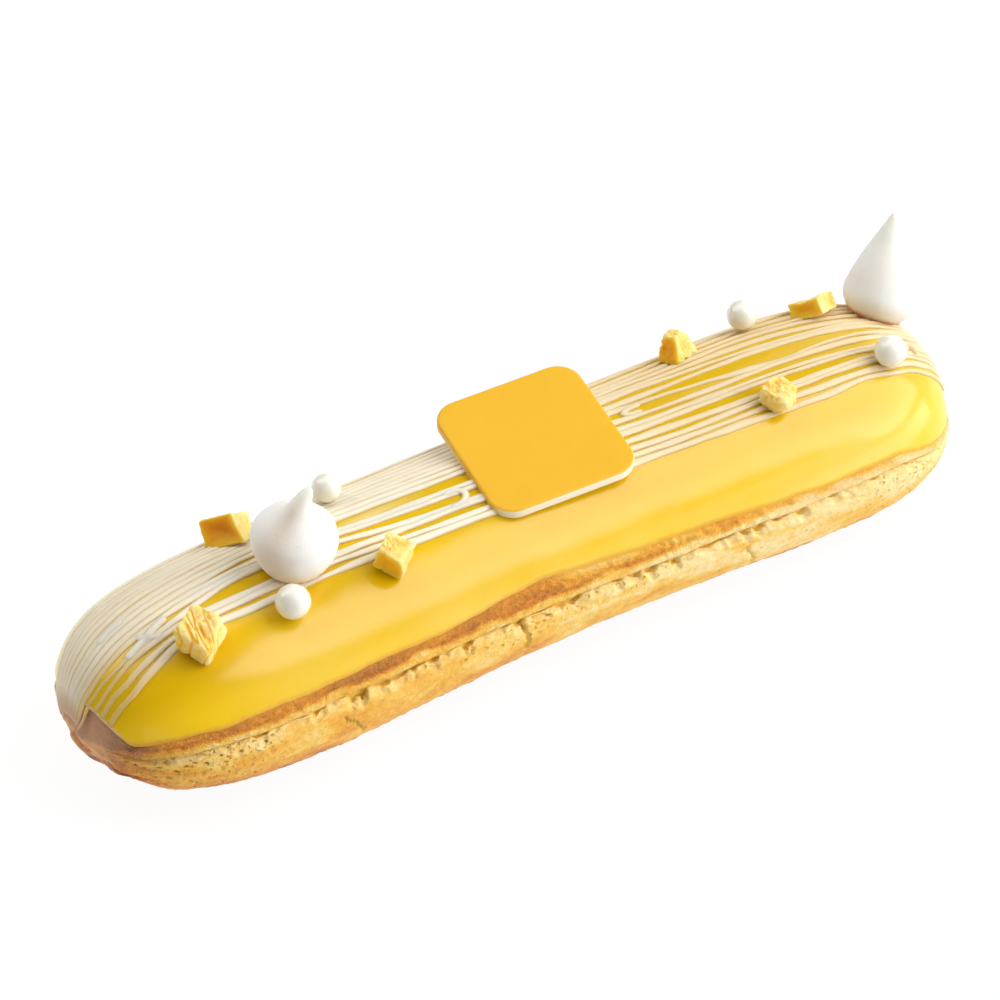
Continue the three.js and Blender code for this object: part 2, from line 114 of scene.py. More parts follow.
# Piped lines: section angle of every line at a few stations along the length
LINE_WIDTH = 1.08
LINE_RISE = 0.36
SEAT_LIFT = LINE_RISE + 0.1
LINE_STATIONS = np.array([-69.8, -68.7, -67, -63, -57, -42, -15, 5, 25, 45, 58, 64, 67, 69.2])
LINE_ANGLES = np.array([
    [12, 28, 42, 54, 66, 77, 88, 98, 108, 118, 128, 138, 148, 156, 164],
    [31, 46, 58, 68, 77, 85, 92, 99, 106, 113, 120, 127, 134, 141, 148],
    [47, 58, 66, 74, 81, 87, 93, 98.5, 104, 110, 116, 122, 128, 134, 140],
    [61, 68, 75.5, 79, 86, 90, 95.5, 100, 105, 110, 115, 120, 125, 130, 135],
    [71, 75.5, 80.5, 83.5, 90, 93, 97.5, 102, 106.5, 111, 115, 119, 123, 127, 131],
    [74.7, 80, 82.5, 92.5, 95, 97.5, 102, 105.5, 109, 112, 115.5, 119, 122.5, 126.5, 131],
    [72, 75.2, 80.2, 82.2, 89, 91, 100.5, 103.5, 107, 110.5, 114, 117.5, 121.5, 126, 131],
    [68, 72, 76, 79, 85, 88, 95, 99, 103, 107, 111, 115, 119.5, 124.5, 130],
    [64.5, 68, 71.8, 76.3, 81.5, 84.3, 88, 95.4, 100.5, 106, 109, 112.5, 117, 122, 128],
    [62.5, 66.8, 71.7, 73.8, 79.8, 82, 86.8, 89, 99, 101.7, 106.7, 112, 116.5, 122, 128],
    [60.5, 64.5, 70, 72.3, 76.3, 79, 85, 88.5, 94.5, 97.5, 101, 105.5, 111, 117, 124],
    [53.5, 59.5, 65, 68.5, 72.5, 76.5, 82, 86, 91, 95, 99, 104, 110, 117, 125],
    [42, 51, 58, 63.5, 69, 74.5, 80, 85, 90, 95, 100, 106, 113, 121, 130],
    [20, 34, 46, 56, 64, 72, 79, 86, 93, 100, 107, 115, 124, 134, 145],
])
# Shares of the half length at which lines end: the first ones and the others on the left, all on the right
FIRST_TIPS = (-0.9625, -0.969, -0.973)
OTHER_TIPS = -0.9965
RIGHT_TIPS = 0.997
# Turn-backs, links and drops between the lines: stations and section angles, then width and rise in mm
LINKS = [
    ([(-11, 80.4), (-8.6, 81.5), (-7.6, 85), (-8.4, 88.6), (-10.6, 89.6)], 1.1, 0.42),
    ([(22.5, 90.8), (20.6, 91.2), (19.8, 93), (20.8, 94.9), (23, 95.4)], 0.9, 0.42),
    ([(-62, 80.2), (-60, 82.5), (-58.2, 85), (-56, 88.5), (-54.4, 90.2)], 1.5, 0.42),
    ([(-59.4, 88.6), (-58.6, 86), (-57.4, 83), (-56, 81.2)], 1.3, 0.42),
    ([(-63.6, 101), (-62.4, 102.6), (-60.8, 103.2), (-59, 102.8)], 1.4, 0.42),
    ([(63.9, 69.2), (64.7, 70)], 2.0, 1.1),
]

# A thin run of icing along the glaze's edge at the left end
RIM_RUN = ([(-68.7, 91), (-68.4, 79), (-68, 64.5), (-67.5, 50), (-67, 39.5), (-66.5, 33)], 0.45, 0.12)

# Toppings
PLAQUE_SIDE = 22.25
PLAQUE_THICKNESS = 1.6
PLAQUE_CORNER = 3.6
PLAQUE_EDGE = 0.35
PLAQUE_MIDDLE = (5.9, 2.65, 25.3)
PLAQUE_YAW = -4.3
PLAQUE_LEAN = 1.6
PLAQUE_NOD = 5.6
# Meringues: the share by which they narrow at the foot, and the power that joins the tip to the dome
KISS_NARROWING = 0.28
KISS_JOIN = 1.5
# Meringues and fruit: where they sit, their sizes in mm, and the shares and powers that shape them
KISSES = {
    "meringue_left": dict(
        x=-34.66, angle=87.25, axis=(0.027, -0.026, 1), radius=6.08, height=11.8, sink=0.9, widest=0.384,
        dome=0.512, roundness=2.4, bend=2.8, curl=(2.73, 0.74), tip=1.06, foot=2.5,
        fold=0.45, fold_turn=200,
    ),
    "meringue_right": dict(
        x=64.88, angle=111.42, axis=(0.291, 0.211, 1), radius=5.64, height=15.8, sink=2.6, widest=0.202,
        ease=0.12, power=1.114, bend=2.3, curl=(0, 0.1), tip=0.72,
    ),
}
# Sets the pearls down on the icing, along the camera's line of sight
PEARL_SHIFT = np.array([0.36, 0.58, -0.64])
PEARLS = ["pearl_1", "pearl_2", "pearl_3", "pearl_4"]
# A chunk's amber share sets how strongly its left face is painted amber, partly as a cut face and partly as
# painted shade
FRUIT = {
    "fruit_1": dict(x=-52.5, angle=70.1, size=(5.9, 5.4, 4.6), spin=36, square=9,
        hollow=0.1, fibre=0.28, rough=0.3, holes=0.2, amber=0.3),
    "fruit_2": dict(x=-22.7, angle=67.4, size=(4.7, 4.6, 4.4), spin=33, square=10, wedge=0.08,
        hollow=0.25, fibre=0.14, rough=0.35, holes=0.2, amber=0.6),
    "fruit_3": dict(x=40.2, angle=68.5, size=(3.9, 3.9, 3.4), spin=25, square=5,
        hollow=0, fibre=0.16, rough=0.9, holes=0.15, amber=0.3),
    "fruit_4": dict(x=-39.2, angle=119, size=(4.0, 6.3, 4.5), spin=33, axis=(0.1, 0.7, 0.7), square=12,
        sink=1.0, hollow=0.9, fibre=0.05, rough=0.4, holes=0, amber=1.1),
    "fruit_5": dict(x=33.8, angle=119.5, size=(5.6, 4.6, 3.9), spin=30, square=6, wedge=0.4,
        hollow=0.15, fibre=0.1, rough=0.85, holes=0.3, amber=0.85),
    "fruit_6": dict(x=55.4, angle=112, size=(4.5, 6.2, 2.8), spin=31, axis=(0.05, 0.7, 0.71), square=12,
        sink=0.4, hollow=0.2, fibre=0.14, rough=0.25, holes=0.1, amber=0.65),
}

# Mesh fineness
OUTLINE_STEPS = 6001
CHOUX_STATIONS = 620
GLAZE_STATIONS = 320
GLAZE_ROWS = 100
FRONT_ROWS = (3, 34, 40, 14)
BACK_ROWS = (3, 20, 24, 10)
COVERED_ROWS = 8
LINE_STEPS = 400
LINE_SIDES = 12
LINK_STEPS = 12
KISS_ROWS = 84
KISS_SIDES = 96
SOFTENED_ROWS = 13
PLAQUE_STEPS = {"corner": 12, "side": 12, "edge": 7, "underside": 10, "top": 14}
PEARL_GRID = (33, 56)
FRUIT_GRID = (96, 140)

# Random lattices: how many numbers a table holds, and the primes that pick one for a lattice corner
TABLE_SIZE = 8191
CORNER_KEYS = np.array([7919, 104729, 1299709])


def smooth(low, high, value):
    """0 below low, 1 above high, and a smooth cubic step between them."""
    part = np.clip((value - low) / (high - low), 0, 1)
    return part * part * (3 - 2 * part)


def blend(start, end, part):
    """The value at a part of the way from start to end."""
    return start + (end - start) * part


def bell(value, middle, width):
    """A bell curve: 1 at the middle, falling off over the width to both sides."""
    return np.exp(-(((value - middle) / width) ** 2))


def sheet_points(x, y):
    """Points of a flat sheet, for noise on a surface rolled out flat."""
    return np.stack(np.broadcast_arrays(x, y, 0.0), axis=-1)


def lattice_noise(points, cell, seed):
    """Random field from -1 to 1: random numbers on a lattice of the cells, blended with cubic steps."""
    table = np.random.default_rng(seed).uniform(-1, 1, TABLE_SIZE)
    grid = points / np.asarray(cell, float)
    corner = np.floor(grid).astype(np.int64)
    part = smooth(0, 1, grid - corner)
    total = 0
    for step in itertools.product((0, 1), repeat=3):
        key = (corner + step) @ CORNER_KEYS
        weight = np.prod(np.where(step, part, 1 - part), axis=-1)
        total = total + weight * table[key % TABLE_SIZE]
    return total


def rough_noise(points, cell, seed, octaves=3):
    """Sum of lattice noises, each with half the cell and half the height of the one before."""
    cell = np.asarray(cell, float)
    layers = [lattice_noise(points, cell / 2**i, seed + i) / 2**i for i in range(octaves)]
    return sum(layers) / (2 - 0.5 ** (octaves - 1))


def pores(points, cell, seed):
    """Depth from 0 to 1 of round pits of random size, one to a lattice cell, some of them missing."""
    table = np.random.default_rng(seed).uniform(0, 1, (TABLE_SIZE, 4))
    grid = points / np.asarray(cell, float)
    corner = np.floor(grid).astype(np.int64)
    depth = np.zeros(grid.shape[:-1])
    for step in itertools.product((-1, 0, 1), repeat=3):
        key = (corner + step) @ CORNER_KEYS
        random = table[key % TABLE_SIZE]
        apart = np.linalg.norm(grid - corner - step - random[..., :3], axis=-1)
        radius = 0.12 + 0.5 * np.clip(random[..., 3] - 0.45, 0, None)
        pit = (1 - smooth(0.35, 1, apart / radius)) * smooth(0.4, 0.8, random[..., 3])
        depth = np.maximum(depth, pit)
    return depth


def through(knots, values, x):
    """Smooth curve through values at the knots: cubic pieces with slopes from the neighbouring knots."""
    slopes = np.gradient(values, knots, axis=0)
    cell = np.clip(np.searchsorted(knots, x) - 1, 0, len(knots) - 2)
    width = (knots[cell + 1] - knots[cell])[:, None]
    part = np.clip((x - knots[cell])[:, None] / width, 0, 1)
    rest = 1 - part
    ends = values[cell] * rest**2 * (1 + 2 * part) + values[cell + 1] * part**2 * (1 + 2 * rest)
    bends = width * (slopes[cell] * part * rest**2 - slopes[cell + 1] * part**2 * rest)
    return ends + bends


def body(share, angle, offset=0.0):
    """Points of the body: a round section, whose half width, rise and drop shrink towards each end
    as the root of 1 minus a power of the share, pushed out by an offset and cut flat at the base."""
    share, angle, offset = np.broadcast_arrays(share, np.radians(angle), offset)
    reach = np.clip(np.abs(share), 0, 1)

    def by_end(name):
        return np.where(share < 0, END_LEFT[name], END_RIGHT[name])

    def shrink(name):
        return np.sqrt(1 - reach ** by_end(name))

    half_width = (WIDTH / 2 + offset) * shrink("plan") * (1 + by_end("flare") * share**2)
    rise = (GLAZE_HEIGHT - WAIST_HEIGHT + offset) * shrink("crown")
    drop = (UNDERSIDE_DEPTH + offset) * shrink("under")
    sine = np.sin(angle)
    x = share * (HALF_LENGTH + offset)
    y = BOW * (1 - 2 * share**2) - half_width * np.cos(angle)
    z = WAIST_HEIGHT + np.where(sine > 0, rise, drop) * sine
    return np.stack([x, y, np.maximum(z, 0)], axis=-1)


def unit(vectors):
    """The vectors at length 1."""
    return vectors / np.maximum(np.linalg.norm(vectors, axis=-1, keepdims=True), 1e-9)


def surface_axes(share, angle):
    """Unit directions along the length and out of the body's surface, from small steps to both sides."""
    step = 0.002
    share = np.clip(share, step - 0.999, 0.999 - step)
    along = unit(body(share + step, angle) - body(share - step, angle))
    across = body(share, angle + 1) - body(share, angle - 1)
    return along, unit(np.cross(along, across))


def run_along(path):
    """Distances of a path's points from its start, along the path."""
    return np.concatenate([[0], np.cumsum(np.linalg.norm(np.diff(path, axis=0), axis=1))])


def stations(first, last, count):
    """Shares of the half length, evenly spaced along the body's outline in plan."""
    fine = blend(first, last, 0.5 - 0.5 * np.cos(np.linspace(0, np.pi, OUTLINE_STEPS)))
    run = run_along(body(fine, 0.0)[:, :2])
    return np.interp(np.linspace(0, run[-1], count), run, fine)


def glaze_edge(x, back):
    """Section angle above the waist of the glaze's lower edge, with a fine waver, on the front or the back.
    It rises round the left end's front and drops round the right end."""
    hump = HUMP_RISE * bell(x, *HUMP_PLACE)
    corner = np.clip((-x - CORNER_START) / (HALF_LENGTH - CORNER_START), 0, None)
    front_edge = FRONT_EDGE - FRONT_FALL * smooth(5, 48, x) + hump + CORNER_RISE * corner**CORNER_POWER
    swing = 2.5 * np.sin(0.055 * x + 1) + 1.2 * np.sin(0.17 * x)
    back_edge = BACK_EDGE + swing - BACK_FALL * smooth(-50, -64, x)
    waver = 1.1 * rough_noise(sheet_points(x, 50.0 * back), 3.4, 11, 4)
    return np.where(back, back_edge, front_edge) - RIGHT_DROP * smooth(*RIGHT_DROP_SPAN, x) + waver


def glaze_limits(x):
    """Section angles of the glaze's edges on the front and on the back."""
    return glaze_edge(x, np.zeros_like(x, bool)), 180 - glaze_edge(x, np.ones_like(x, bool))


def lip_edge(x):
    """Section angle of the lip's lower edge, above the split in the crust."""
    return LIP_ANGLE - LIP_FALL * smooth(-30, 35, x) - 0.87 * RIGHT_DROP * smooth(*RIGHT_DROP_SPAN, x)


def section_width(share):
    """Width in mm of the body's section at its widest."""
    return (body(share, 180.0) - body(share, 0.0))[..., 1]


def glaze_depth(share, angle):
    """Distance in mm inside the glaze, negative outside, from the nearest of its edges and its left end."""
    front, rear = glaze_limits(share * HALF_LENGTH)
    narrowed = section_width(share) / WIDTH
    from_end = (share - GLAZE_ENDS[0]) * HALF_LENGTH * 2.2
    return np.minimum(np.minimum(angle - front, rear - angle) * MM_PER_DEGREE * narrowed, from_end)


def colour(code):
    """Linear RGBA from a display colour written as six hexadecimal digits."""
    display = np.array([int(code[i:i + 2], 16) for i in (0, 2, 4)]) / 255
    linear = np.where(display <= 0.04045, display / 12.92, ((display + 0.055) / 1.055) ** 2.4)
    return (*linear, 1.0)


def soft_light(weight, reach, depth):
    """Sockets for light that goes into a surface: its share, each colour's reach and a depth in mm."""
    return {"Subsurface Weight": weight, "Subsurface Radius": reach, "Subsurface Scale": depth * MM}


def maths(operation, swapped=False):
    """An operator that adds a Math node to a value's finish, with its sides in order or swapped."""
    def operate(value, other):
        sides = {0: other, 1: value} if swapped else {0: value, 1: other}
        return value.finish.node("Math", {"operation": operation}, sides)

    return operate


class Value:
    """A number that changes over a surface, with arithmetic that adds nodes."""

    def __init__(self, finish, socket):
        self.finish = finish
        self.socket = socket

    __add__ = maths("ADD")
    __radd__ = maths("ADD", swapped=True)
    __sub__ = maths("SUBTRACT")
    __rsub__ = maths("SUBTRACT", swapped=True)
    __mul__ = maths("MULTIPLY")
    __rmul__ = maths("MULTIPLY", swapped=True)
    at_least = maths("MAXIMUM")


class Finish:
    """A material around one Principled shader, whose constant sockets are set on the shader itself."""

    def __init__(self, name, sockets):
        self.material = bpy.data.materials.new(name)
        self.material.use_nodes = True
        self.tree = self.material.node_tree
        self.shader = self.tree.nodes["Principled BSDF"]
        self.feed(self.shader, sockets)

    def wear(self, skin, roughness, normal, coat=0.0):
        """Feeds the shader its colour, roughness, normal and clear coat. Gives the finish itself."""
        sockets = {"Base Color": skin, "Roughness": roughness, "Normal": normal, "Coat Weight": coat}
        self.feed(self.shader, sockets)
        return self

    def feed(self, node, sockets):
        """Links or sets the node's sockets, by name or number. A text is a colour's code."""
        for key, value in sockets.items():
            if isinstance(value, Value):
                self.tree.links.new(value.socket, node.inputs[key])
            else:
                node.inputs[key].default_value = colour(value) if isinstance(value, str) else value

    def node(self, kind, settings, sockets, output=0):
        """One output of a new node, given its type, its settings or a ramp's stops, and its sockets."""
        made = self.tree.nodes.new("ShaderNode" + kind)
        for key, value in settings.items():
            if key == "stops":
                elements = made.color_ramp.elements
                for _ in value[2:]:
                    elements.new(0.5)
                for element, (position, code) in zip(elements, value):
                    element.position = position
                    element.color = colour(code)
            else:
                setattr(made, key, value)
        self.feed(made, sockets)
        return Value(self, made.outputs[output])

    def noise(self, size, detail, roughness, stretch=(1, 1, 1)):
        """Noise from 0 to 1 on the object's own coordinates, with features of about a size in mm."""
        place = self.node("TexCoord", {}, {}, "Object")
        place = self.node("Mapping", {}, {"Vector": place, "Scale": stretch})
        settings = {"Scale": 1 / (size * MM), "Detail": detail, "Roughness": roughness}
        return self.node("TexNoise", {}, {"Vector": place, **settings}, "Fac")

    def cells(self, size):
        """Distance from scattered points about a size in mm apart, in shares of that size."""
        place = self.node("TexCoord", {}, {}, "Object")
        return self.node("TexVoronoi", {}, {"Vector": place, "Scale": 1 / (size * MM)}, "Distance")

    def field(self, name):
        """A value stored on the mesh's points."""
        return self.node("Attribute", {"attribute_name": name}, {}, "Fac")

    def step(self, value, low, high):
        """0 below low, 1 above high and a smooth step between them."""
        settings = {"interpolation_type": "SMOOTHSTEP"}
        return self.node("MapRange", settings, {"Value": value, "From Min": low, "From Max": high})

    def ramp(self, value, stops):
        """A colour from stops along a value."""
        return self.node("ValToRGB", {"stops": stops}, {0: value}, "Color")

    def mix(self, part, start, end):
        """A colour part of the way from start to end."""
        return self.node("Mix", {"data_type": "RGBA"}, {0: part, 6: start, 7: end}, 2)

    def bump(self, height, depth, strength):
        """A normal from a height of 0 to 1, for relief of the given depth in mm."""
        return self.node("Bump", {}, {"Height": height, "Strength": strength, "Distance": depth * MM})


def signed_volume(points, quads):
    """Volume inside a closed quad mesh, negative where its faces point inwards."""
    a, b, c, d = (points[quads[:, i]] for i in range(4))
    return (np.einsum("ij,ij->i", a, np.cross(b, c)) + np.einsum("ij,ij->i", a, np.cross(c, d))).sum() / 6


def add_object(name, data):
    """A new object in the scene."""
    made = bpy.data.objects.new(name, data)
    bpy.context.scene.collection.objects.link(made)
    return made


def add_piece(name, grids, finish, node):
    """One mesh from grids of points in mm, each with named values on its points. A grid's columns close on
    themselves, merged doubles close its poles, and its faces are turned outwards by its volume's sign."""
    places, faces, values = [], [], []
    start = 0
    for points, fields in grids:
        rows, columns = size = points.shape[:2]
        index = np.arange(rows * columns).reshape(rows, columns)
        index = np.concatenate([index, index[:, :1]], axis=1)
        quads = np.stack([index[:-1, :-1], index[:-1, 1:], index[1:, 1:], index[1:, :-1]], axis=-1)
        quads = quads.reshape(-1, 4)
        flat = points.reshape(-1, 3)
        if signed_volume(flat, quads) < 0:
            quads = quads[:, ::-1]
        places.append(flat)
        faces.append(quads + start)
        values.append({key: np.broadcast_to(value, size).ravel() for key, value in fields.items()})
        start += rows * columns
    places = np.concatenate(places) * MM
    mesh = bpy.data.meshes.new(name)
    mesh.from_pydata(places.tolist(), [], np.concatenate(faces).tolist())
    for key in values[0]:
        layer = mesh.attributes.new(key, "FLOAT", "POINT")
        layer.data.foreach_set("value", np.concatenate([part[key] for part in values]))
    work = bmesh.new()
    work.from_mesh(mesh)
    bmesh.ops.remove_doubles(work, verts=work.verts, dist=0.002 * MM)
    work.to_mesh(mesh)
    work.free()
    mesh.shade_smooth()
    mesh.materials.append(finish.material)
    piece = add_object(name, mesh)
    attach(piece, "root")
    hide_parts(node)


def split_edges(x, back):
    """Section angles of the lip's lower edge and of the torn edge below it. The gap between them is a fine
    line that opens into ragged lens shapes at the openings."""
    line = sheet_points(x, 200.0 * back)
    lip = lip_edge(x) + 0.9 * rough_noise(line, 6, 21, 4)
    gap = 0.2 + 1.1 * np.clip(rough_noise(line, 5, 31), 0, 1)
    for openings, there in ((FRONT_OPENINGS, ~back), (BACK_OPENINGS, back)):
        for station, half_width, height in openings:
            lens = np.clip(1 - ((x - station) / half_width) ** 2, 0, 1) ** 0.6
            gap = np.maximum(gap, height * lens * there)
    ragged = 1 + 0.6 * rough_noise(line, 1.2, 41, 3)
    return lip, lip - gap * ragged * (1 - smooth(61, 68, np.abs(x)))


def crust_relief(x, height, back, flat):
    """Relief of the crust below the glaze, in mm, and the values that colour it.

    A rolled lip stands above the split, which is cut deep between its two edges. Below the torn edge come
    ragged crumb and then the bulge. Pores and cracks are cut in, and fine noise roughens it all."""
    lip, torn = split_edges(x, back)
    above = height - lip
    slot = smooth(-0.1, 0.35, -above) * smooth(-0.6, 0.1, height - torn)
    roll = LIP_PROUD * bell(above, 2.0, 2.6) * smooth(-0.4, 0.4, above)
    below = np.clip(torn - height, 0, None)
    ragged = rough_noise(flat, (0.9, 0.75, 1), 43, 4)
    crumb = 1 - smooth(0.3 * CRUMB_HEIGHT, CRUMB_HEIGHT, below + 4 * ragged)
    crumb = crumb * smooth(0.2, -0.2, height - torn)
    bulge = BULGE_PROUD * smooth(0, 6, below) * (1 - smooth(35, 70, below))
    wave = WAVE_HEIGHT * np.cos(2 * np.pi * (x - WAVE_CREST) / WAVE_LENGTH)
    wave = wave * smooth(-5, 45, -height) * (1 - smooth(60, -BASE_ANGLE, -height))
    crack = np.zeros_like(x)
    for cracks, there in ((FRONT_CRACKS, ~back), (BACK_CRACKS, back)):
        for (x_top, angle_top), (x_low, angle_low) in cracks:
            part = np.clip((angle_top - height) / (angle_top - angle_low), 0, 1)
            bend = 1.1 * rough_noise(flat * (0, 1, 0) + 3 * x_top, (9, 1.2, 9), 51)
            apart = np.abs(x - blend(x_top, x_low, part) - bend)
            ends = smooth(angle_low - 2, angle_low + 5, height) * smooth(-2, 1, angle_top - height)
            crack = np.maximum(crack, (1 - smooth(0.05, 0.4, apart)) * ends * there)
    pitted = smooth(-0.1, 0.5, rough_noise(flat, (12, 3, 1), 61)) * smooth(-22, -6, height - torn)
    at_ends = np.maximum(smooth(-44, -52, x), 0.8 * smooth(44, 54, x)) * smooth(-26, -14, height)
    pitted = np.maximum(pitted, at_ends) * smooth(1, -1, above)
    pore = np.maximum(pores(flat, (1.5, 0.95, 1), 71), 0.8 * pores(flat, (0.9, 0.6, 1), 73)) * pitted
    grain = 0.1 * rough_noise(flat, (0.9, 0.7, 1), 81, 2) + 0.16 * rough_noise(flat, (5, 2.4, 1), 91, 3)
    edge = height - glaze_edge(x, back)
    crusty = smooth(-4, 2, x) * smooth(27, 18, x) * bell(edge, -1, 2.8)
    bubbles = np.abs(rough_noise(flat, (1.3, 0.9, 1), 95, 2))
    relief = roll - SPLIT_DEPTH * slot - CRUMB_DEPTH * crumb * (0.5 + 1.6 * ragged) + bulge + wave
    relief = relief - CRACK_DEPTH * crack - PORE_DEPTH * pore + grain
    relief = relief + (0.3 + 0.45 * crusty) * bubbles * smooth(0, 3, above)
    holes = {"slot": slot, "crack": crack, "pore": pore}
    return relief, {**holes, "crumb": crumb, "pitted": pitted, "crusty": crusty, "above_lip": above}


def choux_angles(x):
    """Section angles of the shell's rows at each station. They follow the lip and the glaze's edge on both
    sides, and lie closest together at the split."""
    sides = []
    for back, counts in ((False, FRONT_ROWS), (True, BACK_ROWS)):
        side = np.full_like(x, back, bool)
        lip = split_edges(x, side)[0]
        low = [np.full_like(x, -90.0), np.full_like(x, -60.0)]
        knots = [*low, lip - 12, lip + 0.8, glaze_edge(x, side) + 2.5]
        rows = [
            blend(start[:, None], end[:, None], np.linspace(0, 1, count, endpoint=False))
            for start, end, count in zip(knots, knots[1:], counts)
        ]
        sides.append((np.concatenate(rows, axis=1), knots[-1]))
    (front, front_top), (rear, rear_top) = sides
    over = blend(front_top[:, None], 180 - rear_top[:, None], np.linspace(0, 1, COVERED_ROWS))
    return np.concatenate([front, over, 180 - rear[:, :0:-1]], axis=1)


def choux_surface():
    """The baked shell: the body's rings from end to end, pushed out by the crust's relief, undercut at the
    split, sunk under the glaze, and wrinkled at the bare left end."""
    share = stations(-1, 1, CHOUX_STATIONS)
    angle = choux_angles(share * HALF_LENGTH)
    share = np.broadcast_to(share[:, None], angle.shape)
    x = share * HALF_LENGTH
    back = angle > 90
    height = np.where(back, 180 - angle, angle)
    flat = sheet_points(x, height * MM_PER_DEGREE + 200.0 * back)
    relief, fields = crust_relief(x, height, back, flat)
    depth = glaze_depth(share, angle)
    place = body(share, angle)
    level = place[..., 2]
    end_left = smooth(*BARE_END, x)
    streak = rough_noise(place, (1.3, 1.3, 7), 101, 3)
    wrinkle = rough_noise(place, (1.6, 2.6, 1.7), 105, 3)
    fade = 1 - smooth(0.955, 0.995, np.abs(share))
    covered = smooth(0.1, 1.6, depth)
    bare = smooth(16.5, 12.5, level) * end_left
    relief = relief * fade + (0.25 * streak + 0.5 * wrinkle - 0.45) * bare
    relief = relief - 0.45 * end_left * smooth(12.5, 15.5, level)
    relief = np.where(height > -60, relief, relief * smooth(-75, -60, height))
    under = -0.1 - 0.5 * end_left - (GLAZE_THICKNESS + GAP - 0.1) * covered
    offset = np.where(depth > -0.5, blend(relief, under, smooth(-0.5, 0.2, depth)), relief)
    above_lip = fields["above_lip"]
    uneven = 3.0 * rough_noise(flat, (3.4, 1.1, 1), 113, 4)
    lip_tone = blend(0.05, 0.64, smooth(2.6, 6.6, above_lip + uneven))
    low = np.degrees(np.arcsin(np.clip((level - WAIST_HEIGHT) / UNDERSIDE_DEPTH, -1, 1)))
    bulge_tone = 0.16 + 0.26 * smooth(2, -22, low) + 0.6 * smooth(-25, -33, low)
    bake = blend(bulge_tone, lip_tone, smooth(-0.3, 0.3, above_lip))
    bake = bake - 0.14 * fields["crumb"] - 0.42 * fields["crusty"]
    bake = bake + 0.3 * rough_noise(flat, (7, 2.2, 1), 111, 4)
    end_dark = smooth(-60, -68.5, x) * smooth(2, 9, level)
    # The bare left end is baked browner. Towards the right end the crust is painted paler, as painted light
    # where that end is most brightly lit, and a little browner towards the left
    bake = bake + (0.36 + 0.25 * wrinkle) * end_dark - 0.2 * smooth(0, 55, x) + 0.12 * smooth(0, -40, x)
    inwards = smooth(-12, -4, place[..., 1])
    raised = level + 4.5 * inwards
    film = end_left * smooth(11.5, 16, raised + 3.4 * streak) * smooth(0.6, -0.2, depth)
    film = film * blend(0.6, 1, inwards)
    film = film * np.maximum(0.3 + 0.7 * smooth(-0.35, 0.35, streak), smooth(13.5, 16, raised))
    values = {
        "bake": np.clip(bake, 0, 1),
        "amber": np.clip(fields["slot"] + 0.8 * fields["crack"] + 0.7 * fields["pore"], 0, 1) * fade,
        "crumb": fields["crumb"] * fade,
        "pitted": fields["pitted"] * fade,
        "stain": smooth(-1.6, 0, depth) * (1 - end_left),
        "film": film,
        "lip": smooth(-0.3, 0.6, above_lip),
    }
    angle = angle - np.where(back, -UNDERCUT, UNDERCUT) * fields["slot"] * fade
    return body(share, angle, offset), values


def glaze_surface():
    """The glaze: rows over the outer face from the front edge to the back edge, then back along the inner
    face. The outer face has slow swells and thins out at its boundary. Both ends close to a line."""

    def there_and_back(rows):
        return np.concatenate([rows, rows[:, ::-1]], axis=1)

    part = np.linspace(0, 1, GLAZE_ROWS)
    part = 0.55 * part + 0.45 * (0.5 - 0.5 * np.cos(np.pi * part))
    share = stations(*GLAZE_ENDS, GLAZE_STATIONS)[:, None]
    x = share * HALF_LENGTH
    front, rear = glaze_limits(x)
    angle = blend(front, rear, part)
    share = np.broadcast_to(share, angle.shape)
    depth = np.clip(glaze_depth(share, angle), 0, None)
    place = body(share, angle)
    swell = 0.1 * lattice_noise(place, 16, 121) + 0.06 * rough_noise(place, 7, 131, 2)
    bead = 0.05 * bell(depth, 0.9, 0.7)
    outer = (swell + bead) * smooth(0, 1.2, depth) - 0.14 * (1 - smooth(0, 0.9, depth))
    outer = outer - 0.35 * smooth(-66.5, -68.4, share * HALF_LENGTH) * smooth(78, 92, angle)
    inner = -0.5 - (GLAZE_THICKNESS - 0.5) * smooth(0, 1.6, depth)
    share, angle, depth = (there_and_back(rows) for rows in (share, angle, depth))
    offset = np.concatenate([outer, inner[:, ::-1]], axis=1)
    middle = there_and_back((outer + inner) / 2)
    offset[[0, -1]] = middle[[0, -1]]
    x = share * HALF_LENGTH
    # Paler glaze: partly milky glaze, partly painted reflection and highlight
    milk = 0.8 * bell(x, -21, 5.5) * bell(angle, 96, 2.6)
    milk = milk + 0.2 * smooth(98, 106, angle) * smooth(150, 138, angle) * smooth(25, 0, x)
    # Painted highlight: the right end of the glaze is painted pale
    milk = milk + 0.35 * smooth(56, 69, x) * smooth(25, 60, angle)
    # Painted reflection: a patchy pale veil low on the front, from near the left end to the right end
    blotch = rough_noise(body(share, angle), 14, 133, 3)
    milk = milk + (0.14 + 0.16 * blotch) * smooth(54, 36, angle) * smooth(-58, -40, x)
    milk = milk + 0.15 * smooth(90, 97, angle) * smooth(-30, -50, x)
    milk = milk + 0.5 * smooth(126, 140, angle) * smooth(-40, -52, x)
    # Painted shade: the glaze between the lines on the crown is painted darker olive, where the lines shade
    # it
    olive = smooth(58, 74, angle) * smooth(-25, 15, x)
    # Painted light: a brighter yellow band low on the front, strongest towards the left end
    bright = smooth(54, 32, angle) * blend(0.55, 1, smooth(-38, -62, x))
    values = {"depth": depth, "milk": np.clip(milk, 0, 1), "olive": olive, "bright": bright}
    return body(share, angle, offset), values


